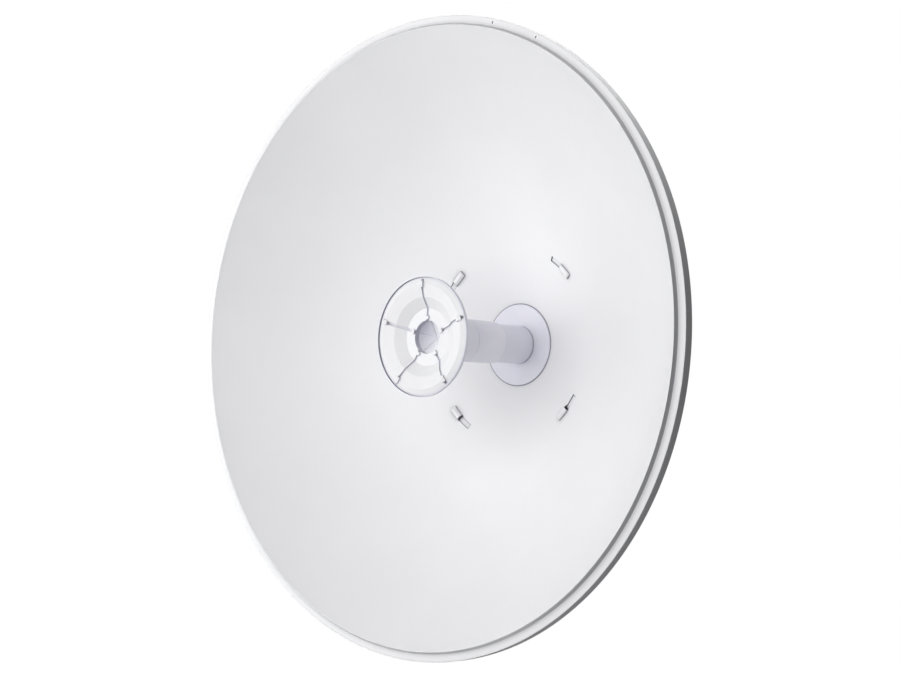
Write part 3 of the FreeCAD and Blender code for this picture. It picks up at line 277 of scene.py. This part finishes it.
# ---------------------------------------------------------------- reflector, in millimetres
FOCAL = 150.0
VERTEX_Y = -130.0
SHEET = 1.8
HOLE_R = 31.5
BOWL_EDGE_R = 312.9
BACK_EDGE_R = 312.6
RIM_R = 323.8
RIM_WALL = 10.2
RIM_SHEET = 1.4
RIM = RIM_Y * 1000.0
CREST_R = 313.4
CREST_H = 3.5
LANCE_R = 104.0
LANCE_SLOT = 47.95                          # degrees, middle of the first lance's slot
LANCE_APART = 90.0                          # degrees from one lance to the next
LANCE_LEAN = math.atan(LANCE_R / (2.0 * FOCAL))
LANCE_ARC = math.radians(1.0) * LANCE_R     # length of a degree along the lance circle
LANCE_SPAN = 10.6                           # degrees each side of a slot that have a finer mesh
LANCE_WIDE = 5.0                            # nothing is pressed further from the lance circle than this
SLOT_HALF = 0.65                            # degrees, as the pad's start and the pocket's end
PAD_START = -8.75
PAD_HALF = 3.5
PAD_H = 3.2
PAD_LIP = 0.35                              # upright start of the arched pad
POCKET_D = 2.6
PAD_ROUND = 2.5
PRESS_WALL = 0.7
POCKET_END = 8.65
POCKET_HALF = 2.95
HOLLOW_HALF = 3.36                          # behind the raised pad, clear of the straight hook's corners
STEP = 0.02                                 # width of a pressed wall's mesh
LANCE_ROWS = (3.43, 3.2, 3.05, 2.75, 2.45, 2.15, 1.7, 1.3, 0.6)
PAD_RUNS = (0.12, 0.3, 0.55, 0.9, 1.4, PAD_ROUND)
LANCE_TURNS = (-10.0, -6.5, -5.5, -4.5, -3.5, -2.5, -1.5, 1.6, 2.6, 3.6, 4.6, 5.6, 6.6, 7.6, 10.0)
EVEN_TURN = 1.5                             # degrees between spokes away from the lances
DRAIN_R = 320.0
DRAIN_HOLE = 1.5
DRAIN_ANGLES = (61.2, 71.9)
DRAIN_MARKS = (-1.0, -0.62, 0.0, 0.62, 1.0)
DRAIN_SPAN = 0.8                            # degrees each side of a drain hole without even spokes


def bowl(radius):
    return VERTEX_Y - radius * radius / (4.0 * FOCAL)


def arc_points(first, middle, last, count):
    """Points on the circle through three, without the first."""
    a = Vector(first)
    b = Vector(middle)
    c = Vector(last)
    d = 2.0 * (a.x * (b.y - c.y) + b.x * (c.y - a.y) + c.x * (a.y - b.y))
    ux = (a.dot(a) * (b.y - c.y) + b.dot(b) * (c.y - a.y) + c.dot(c) * (a.y - b.y)) / d
    uy = (a.dot(a) * (c.x - b.x) + b.dot(b) * (a.x - c.x) + c.dot(c) * (b.x - a.x)) / d
    centre = Vector((ux, uy))
    start = math.atan2(a.y - uy, a.x - ux)
    via = (math.atan2(b.y - uy, b.x - ux) - start) % math.tau
    sweep = (math.atan2(c.y - uy, c.x - ux) - start) % math.tau
    if via > sweep:
        sweep -= math.tau
    radius = (a - centre).length
    turns = [start + sweep * step / count for step in range(1, count + 1)]
    return [(ux + radius * math.cos(turn), uy + radius * math.sin(turn)) for turn in turns]


def line_points(first, last, count):
    return [tuple(f + (e - f) * step / count for f, e in zip(first, last)) for step in range(1, count + 1)]


def merged(values, closest):
    kept = []
    for value in sorted(values):
        if not kept or value - kept[-1] > closest:
            kept.append(value)
    return kept


def lance_widths():
    marks = [0.0]
    for edge in (POCKET_HALF + PRESS_WALL, PAD_HALF, POCKET_HALF, HOLLOW_HALF):
        marks += [edge - STEP, edge + STEP]
    marks += LANCE_ROWS
    return merged([-mark for mark in marks] + marks, 0.005)


def from_slot(angle):
    """Degrees from the middle of the nearest lance's slot."""
    return (angle - LANCE_SLOT + LANCE_APART / 2.0) % LANCE_APART - LANCE_APART / 2.0


def bowl_radii():
    fine = [LANCE_R + wide * math.cos(LANCE_LEAN) for wide in lance_widths()]
    count = 52
    coarse = [HOLE_R + (BOWL_EDGE_R - HOLE_R) * step / count for step in range(count + 1)]
    apart = [radius for radius in coarse if not fine[0] - 1.5 < radius < fine[-1] + 1.5]
    return sorted(apart + fine)


def turns_around():
    """Angles of the mesh's spokes: even, with more of them at the lances and the drain holes."""
    degree = STEP / LANCE_ARC
    near = [PAD_START - degree, PAD_START + degree]
    near += [PAD_START + run / LANCE_ARC for run in PAD_RUNS]
    near += [-SLOT_HALF, SLOT_HALF, POCKET_END - degree, POCKET_END + degree]
    for wall in (PAD_START + PRESS_WALL / LANCE_ARC, POCKET_END + PRESS_WALL / LANCE_ARC):
        near += [wall - degree, wall + degree]
    near += LANCE_TURNS
    spokes = []
    for quarter in range(4):
        spokes += [(LANCE_SLOT + LANCE_APART * quarter + turn) % 360.0 for turn in near]
    for angle in DRAIN_ANGLES:
        spokes += [angle + math.degrees(mark * DRAIN_HOLE / DRAIN_R) for mark in DRAIN_MARKS]
    for step in range(round(360.0 / EVEN_TURN)):
        angle = EVEN_TURN * step
        close = abs(from_slot(angle)) < LANCE_SPAN
        drain = any(abs(angle - hole) < DRAIN_SPAN for hole in DRAIN_ANGLES)
        if not close and not drain:
            spokes.append(angle)
    return merged(spokes, 0.002)


def pad_curve(inside, run):
    """Height of the arched pad at a distance inside its outline, where the arch takes run to rise."""
    rise = max(0.0, 1.0 - inside / run)
    return PAD_LIP + (PAD_H - PAD_LIP) * math.sqrt(1.0 - rise * rise)


def front_height(turn, wide):
    """Pressed height of the sheet's front near a lance; turn in degrees from its slot."""
    wide = abs(wide)
    if PAD_START < turn < -SLOT_HALF + 1e-4 and wide < PAD_HALF:
        return min(pad_curve((turn - PAD_START) * LANCE_ARC, PAD_ROUND), pad_curve(PAD_HALF - wide, PAD_HALF))
    if SLOT_HALF - 1e-4 < turn < POCKET_END and wide < POCKET_HALF:
        return -POCKET_D
    return None


def back_height(turn, wide):
    """The same for the sheet's back, still measured from the front."""
    wide = abs(wide)
    wall = PRESS_WALL / LANCE_ARC
    if PAD_START + wall < turn < -SLOT_HALF + 1e-4 and wide < HOLLOW_HALF:
        return (PAD_H - PRESS_WALL) * math.sqrt(max(0.0, 1.0 - (wide / PAD_HALF) ** 2))
    if SLOT_HALF - 1e-4 < turn < POCKET_END + wall and wide < POCKET_HALF + PRESS_WALL:
        return -POCKET_D - PRESS_WALL
    return None


def reflector_stations():
    """The closed section as (radius, depth, height function, radius key), front first, then back."""
    stations = []
    for radius in bowl_radii():
        stations.append((radius, bowl(radius), front_height, round(radius, 4)))
    crest_end = (CREST_R + 0.5, RIM - 3.1)
    foot = (317.2, RIM + 0.3)
    corner_in = (RIM_R - 0.6, RIM + 0.5)
    rim = arc_points((BOWL_EDGE_R, bowl(BOWL_EDGE_R)), (CREST_R, RIM - CREST_H), crest_end, 5)
    rim += line_points(crest_end, (315.4, RIM - 0.4), 3)
    rim += arc_points((315.4, RIM - 0.4), (316.1, RIM + 0.18), foot, 6)
    stations += [(r, y, None, None) for r, y in rim]
    drains = [DRAIN_R + mark * DRAIN_HOLE for mark in DRAIN_MARKS]
    for radius in drains:
        lean = (radius - foot[0]) / (corner_in[0] - foot[0])
        stations.append((radius, foot[1] + 0.2 * lean, None, round(radius, 4)))
    inner = RIM_R - RIM_SHEET
    under = corner_in[1] + RIM_SHEET
    rim = [corner_in]
    rim += arc_points(corner_in, (RIM_R - 0.176, RIM + 0.676), (RIM_R, RIM + 1.1), 4)
    rim += line_points((RIM_R, RIM + 1.1), (RIM_R, RIM + RIM_WALL - 0.2), 4)
    rim += [(RIM_R - 0.2, RIM + RIM_WALL), (inner + 0.2, RIM + RIM_WALL), (inner, RIM + RIM_WALL - 0.2),
            (inner, under + 0.6), (inner - 0.15, under + 0.2), (inner - 0.6, under)]
    stations += [(r, y, None, None) for r, y in rim]
    back_foot = (316.6, foot[1] + RIM_SHEET)
    for radius in drains[::-1]:
        lean = (radius - back_foot[0]) / (inner - 0.6 - back_foot[0])
        stations.append((radius, back_foot[1] + 0.2 * lean, None, round(radius, 4)))
    stations += [(r, y, None, None) for r, y in (back_foot, (315.4, RIM + 0.95), (314.2, RIM + 0.2))]
    stations.append((BACK_EDGE_R, bowl(BACK_EDGE_R) + SHEET, None, None))
    for radius in bowl_radii()[-2::-1]:
        stations.append((radius, bowl(radius) + SHEET, back_height, round(radius, 4)))
    return stations


def station_point(station, angle):
    radius, depth, height, _ = station
    wide = (radius - LANCE_R) / math.cos(LANCE_LEAN)
    if height is not None and abs(wide) < LANCE_WIDE:
        pressed = height(from_slot(angle), wide)
        if pressed is not None:
            radius -= pressed * math.sin(LANCE_LEAN)
            depth = bowl(LANCE_R + wide * math.cos(LANCE_LEAN)) - pressed * math.cos(LANCE_LEAN)
    return radius, depth


def in_drain(station, angle, hole):
    if station[3] is None or abs(station[0] - DRAIN_R) > DRAIN_HOLE + 0.01:
        return None
    sideways = math.radians(angle - hole) * DRAIN_R
    if abs(sideways) > DRAIN_HOLE + 0.01:
        return None
    return station[0] - DRAIN_R, sideways


def round_drain(station, angle):
    """The square of mesh round a drain hole, with its outline drawn in to a circle."""
    radius, depth = station_point(station, angle)
    for hole in DRAIN_ANGLES:
        inside = in_drain(station, angle, hole)
        if inside and max(abs(inside[0]), abs(inside[1])) > DRAIN_HOLE - 0.01:
            scale = DRAIN_HOLE / math.hypot(*inside)
            radius = DRAIN_R + inside[0] * scale
            angle = hole + math.degrees(inside[1] * scale / DRAIN_R)
    return radius, depth, angle


def cell_open(low, high, angle_low, angle_high):
    """True where a slot or a drain hole goes through the sheet."""
    middle_r = (low[0] + high[0]) / 2.0
    middle = (angle_low + angle_high) / 2.0
    if low[2] is not None and high[2] is not None:
        wide = (middle_r - LANCE_R) / math.cos(LANCE_LEAN)
        return abs(from_slot(middle)) < SLOT_HALF and abs(wide) < PAD_HALF - STEP / 2.0
    if low[3] is None or high[3] is None or low[0] < BACK_EDGE_R:
        return False
    for hole in DRAIN_ANGLES:
        if abs(math.radians(middle - hole) * DRAIN_R) < DRAIN_HOLE:
            return True
    return False


def reflector_mesh():
    stations = reflector_stations()
    spokes = turns_around()
    rows = len(stations)
    columns = len(spokes)
    points = []
    for station in stations:
        for angle in spokes:
            radius, depth, at = round_drain(station, angle)
            at = math.radians(at)
            points.append((radius * math.cos(at) / 1000.0, depth / 1000.0, radius * math.sin(at) / 1000.0))
    half = next(index for index, station in enumerate(stations) if station[0] == RIM_R)
    twin = {}
    for index in range(half, rows):
        if stations[index][3] is not None:
            twin[stations[index][3]] = index
    opened = set()
    for row in range(half):
        for column in range(columns):
            after = (spokes[(column + 1) % columns] - spokes[column]) % 360.0
            if cell_open(stations[row], stations[row + 1], spokes[column], spokes[column] + after):
                opened.add((row, column))
    behind = {(twin[stations[row + 1][3]], column) for row, column in opened}

    def at(row, column):
        return (row % rows) * columns + column % columns

    def opposite(row, column):
        return at(twin[stations[row][3]], column)

    faces = []
    for row in range(rows):
        for column in range(columns):
            if (row, column) not in opened and (row, column) not in behind:
                faces.append((at(row, column), at(row + 1, column), at(row + 1, column + 1),
                              at(row, column + 1)))
    for row, column in sorted(opened):
        for near in (0, 1):
            side = column + near
            if (row, (column - 1 + 2 * near) % columns) not in opened:
                faces.append((at(row, side), at(row + 1, side), opposite(row + 1, side), opposite(row, side)))
            edge = row + near
            if (row - 1 + 2 * near, column) not in opened:
                faces.append((at(edge, column), at(edge, column + 1), opposite(edge, column + 1),
                              opposite(edge, column)))
    return points, faces


def clean_object(name, points, faces, sharp=38.0):
    """Object from points and faces, with loose points removed and normals set outwards."""
    mesh = bpy.data.meshes.new(name)
    mesh.from_pydata(points, [], faces)
    shape = bmesh.new()
    shape.from_mesh(mesh)
    loose = [vert for vert in shape.verts if not vert.link_faces]
    bmesh.ops.delete(shape, geom=loose, context="VERTS")
    bmesh.ops.recalc_face_normals(shape, faces=shape.faces)
    for face in shape.faces:
        face.smooth = True
    shape.to_mesh(mesh)
    shape.free()
    mesh.set_sharp_from_angle(angle=math.radians(sharp))
    made = bpy.data.objects.new(name, mesh)
    bpy.context.scene.collection.objects.link(made)
    return made


def build_reflector():
    made = clean_object("reflector_shell", *reflector_mesh())
    made.data.materials.append(MATERIALS["reflector_coat"])
    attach(made, "reflector")
    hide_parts("dish_reflector")


# ---------------------------------------------------------------- ribs in the sub-reflector's well
WELL_MOUTH = (16.4, -271.9)
WELL_TIP = (0.6, -262.1)
RIB_COUNT = 5
RIB_START = 88.6
RIB_HALF = (0.55, 0.25)      # half width at the mouth and near the tip
RIB_H = (0.9, 0.4)
RIB_STEPS = 8
RIB_SECTION = ((-1.3, -0.3), (-0.9, 0.75), (-0.35, 1.0), (0.35, 1.0), (0.9, 0.75), (1.3, -0.3))


def build_well_ribs():
    """Five low ribs that run down the well's cone to its tip."""
    slope = Vector((WELL_TIP[0] - WELL_MOUTH[0], WELL_TIP[1] - WELL_MOUTH[1])).normalized()
    out = Vector((slope.y, -slope.x))
    if out.y > 0.0:
        out = -out
    points = []
    faces = []
    around = len(RIB_SECTION)
    for index in range(RIB_COUNT):
        turn = math.radians(RIB_START + 360.0 * index / RIB_COUNT)
        along = Vector((math.cos(turn), 0.0, math.sin(turn)))
        across = Vector((-math.sin(turn), 0.0, math.cos(turn)))
        first = len(points)
        for step in range(RIB_STEPS + 1):
            part = step / RIB_STEPS
            radius = WELL_MOUTH[0] + (WELL_TIP[0] - WELL_MOUTH[0]) * part
            depth = WELL_MOUTH[1] + (WELL_TIP[1] - WELL_MOUTH[1]) * part
            half = RIB_HALF[0] + (RIB_HALF[1] - RIB_HALF[0]) * part
            tall = RIB_H[0] + (RIB_H[1] - RIB_H[0]) * part
            for side, lift in RIB_SECTION:
                base = along * (radius + out.x * lift * tall) + across * (half * side)
                base.y = depth + out.y * lift * tall
                points.append(tuple(value / 1000.0 for value in base))
        for step in range(RIB_STEPS):
            for side in range(around):
                a = first + step * around + side
                b = first + step * around + (side + 1) % around
                faces.append((a, b, b + around, a + around))
        faces.append(tuple(first + side for side in range(around)))
        faces.append(tuple(first + RIB_STEPS * around + side for side in range(around)))
    made = clean_object("well_ribs", points, faces)
    made.data.materials.append(MATERIALS["cover_plastic"])
    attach(made, "head")


# ---------------------------------------------------------------- stage
def build_floor():
    """Pale sheet below the dish; its glow is seen by the camera alone, so it lights nothing."""
    corners = [(FLOOR_HALF * x, FLOOR_HALF * y, FLOOR_Z) for x, y in ((-1, -1), (1, -1), (1, 1), (-1, 1))]
    mesh = bpy.data.meshes.new("floor")
    mesh.from_pydata(corners, [], [(0, 1, 2, 3)])
    floor = bpy.data.objects.new("floor", mesh)
    bpy.context.scene.collection.objects.link(floor)
    made = surface("floor_white", (0.24, 0.24, 0.245), 0.8, spread=0.004, patch=2.0)
    tree = made.node_tree
    bsdf = next(part for part in tree.nodes if part.type == "BSDF_PRINCIPLED")
    bsdf.inputs["Emission Color"].default_value = (1.0, 1.0, 1.0, 1.0)
    path = node(tree, "ShaderNodeLightPath", -400, 500)
    glow = node(tree, "ShaderNodeMath", -200, 500, operation="MULTIPLY")
    glow.inputs[1].default_value = FLOOR_GLOW
    tree.links.new(path.outputs["Is Camera Ray"], glow.inputs[0])
    tree.links.new(glow.outputs["Value"], bsdf.inputs["Emission Strength"])
    floor.data.materials.append(made)


SOFT_BOXES = (
    # name, direction from the dish, distance, side, power
    ("front", (0.07, -1.0, 0.15), 2.5, 2.4, 24.6),
    ("front_left", (-0.5, -1.0, 0.2), 2.5, 1.6, 3.6),
    ("front_right", (0.40, -1.0, 0.05), 2.5, 1.6, 6.0),
    ("front_low", (0.20, -1.0, -0.25), 2.0, 0.9, 3.2),
    ("left", (-1.0, -0.2, 0.1), 2.5, 1.6, 1.0),
    ("near_left", (-1.0, -0.5, 0.3), 1.3, 0.9, 1.2),
    ("near_upper_left", (-0.7, -1.0, 0.6), 1.3, 0.9, 2.5),
    ("near_lower_left", (-1.0, -0.9, -0.2), 1.3, 0.9, 4.2),
    ("near_front", (0.0, -1.0, 0.25), 1.6, 0.9, 4.7),
    ("rim_top", (-0.12, 0.5, 1.0), 2.5, 1.6, 48.0),
    ("rear_left", (-0.7, 0.9, 0.35), 2.5, 1.6, 16.0),
    ("rear", (0.1, 1.0, 0.45), 2.5, 1.6, 14.0),
)


def area_light(name, towards, distance, side, power):
    """Soft box that stands in a direction from the dish and faces it."""
    centre = Vector((0.0, RIM_Y / 2.0, 0.0))
    way = Vector(towards).normalized()
    light = bpy.data.lights.new(name, "AREA")
    light.shape = "SQUARE"
    light.size = side
    light.energy = power
    obj = bpy.data.objects.new(name, light)
    obj.location = centre + way * distance
    obj.rotation_euler = (-way).to_track_quat("-Z", "Y").to_euler()
    obj.visible_camera = False
    bpy.context.scene.collection.objects.link(obj)


def build_lights():
    for name, towards, distance, side, power in SOFT_BOXES:
        area_light(name, towards, distance, side, power)


def build_world():
    """White to the camera, dim to the object, so the soft boxes do the lighting."""
    world = bpy.data.worlds.new("studio")
    bpy.context.scene.world = world
    world.use_nodes = True
    tree = world.node_tree
    tree.nodes.clear()
    out = node(tree, "ShaderNodeOutputWorld", 400, 0)
    mix = node(tree, "ShaderNodeMixShader", 200, 0)
    seen = node(tree, "ShaderNodeBackground", 0, -100, Strength=1.0, Color=(1.0, 1.0, 1.0, 1.0))
    dim = node(tree, "ShaderNodeBackground", 0, 100, Strength=0.02, Color=(0.95, 0.95, 1.0, 1.0))
    path = node(tree, "ShaderNodeLightPath", -200, 200)
    tree.links.new(path.outputs["Is Camera Ray"], mix.inputs["Fac"])
    tree.links.new(dim.outputs["Background"], mix.inputs[1])
    tree.links.new(seen.outputs["Background"], mix.inputs[2])
    tree.links.new(mix.outputs["Shader"], out.inputs["Surface"])


def build_camera():
    centre = Vector((0.0, RIM_Y, 0.0))
    level = math.cos(VIEW_ELEVATION)
    back = Vector((math.sin(VIEW_AZIMUTH) * level, -math.cos(VIEW_AZIMUTH) * level, math.sin(VIEW_ELEVATION)))
    right = Vector((math.cos(VIEW_AZIMUTH), math.sin(VIEW_AZIMUTH), 0.0))
    up = back.cross(right)
    place = centre + back * VIEW_DISTANCE
    forward = (centre + right * AIM_RIGHT + up * AIM_UP - place).normalized()
    right = forward.cross(up).normalized()
    up = right.cross(forward)
    data = bpy.data.cameras.new("camera")
    data.lens = VIEW_LENS
    data.sensor_width = 36.0
    camera = bpy.data.objects.new("camera", data)
    turn = Matrix((right, up, -forward)).transposed().to_4x4()
    camera.matrix_world = Matrix.Translation(place) @ turn
    bpy.context.scene.collection.objects.link(camera)
    bpy.context.scene.camera = camera


paint_frame()
build_reflector()
build_well_ribs()
build_floor()
build_lights()
build_world()
build_camera()
bpy.context.scene.view_settings.view_transform = "Standard"
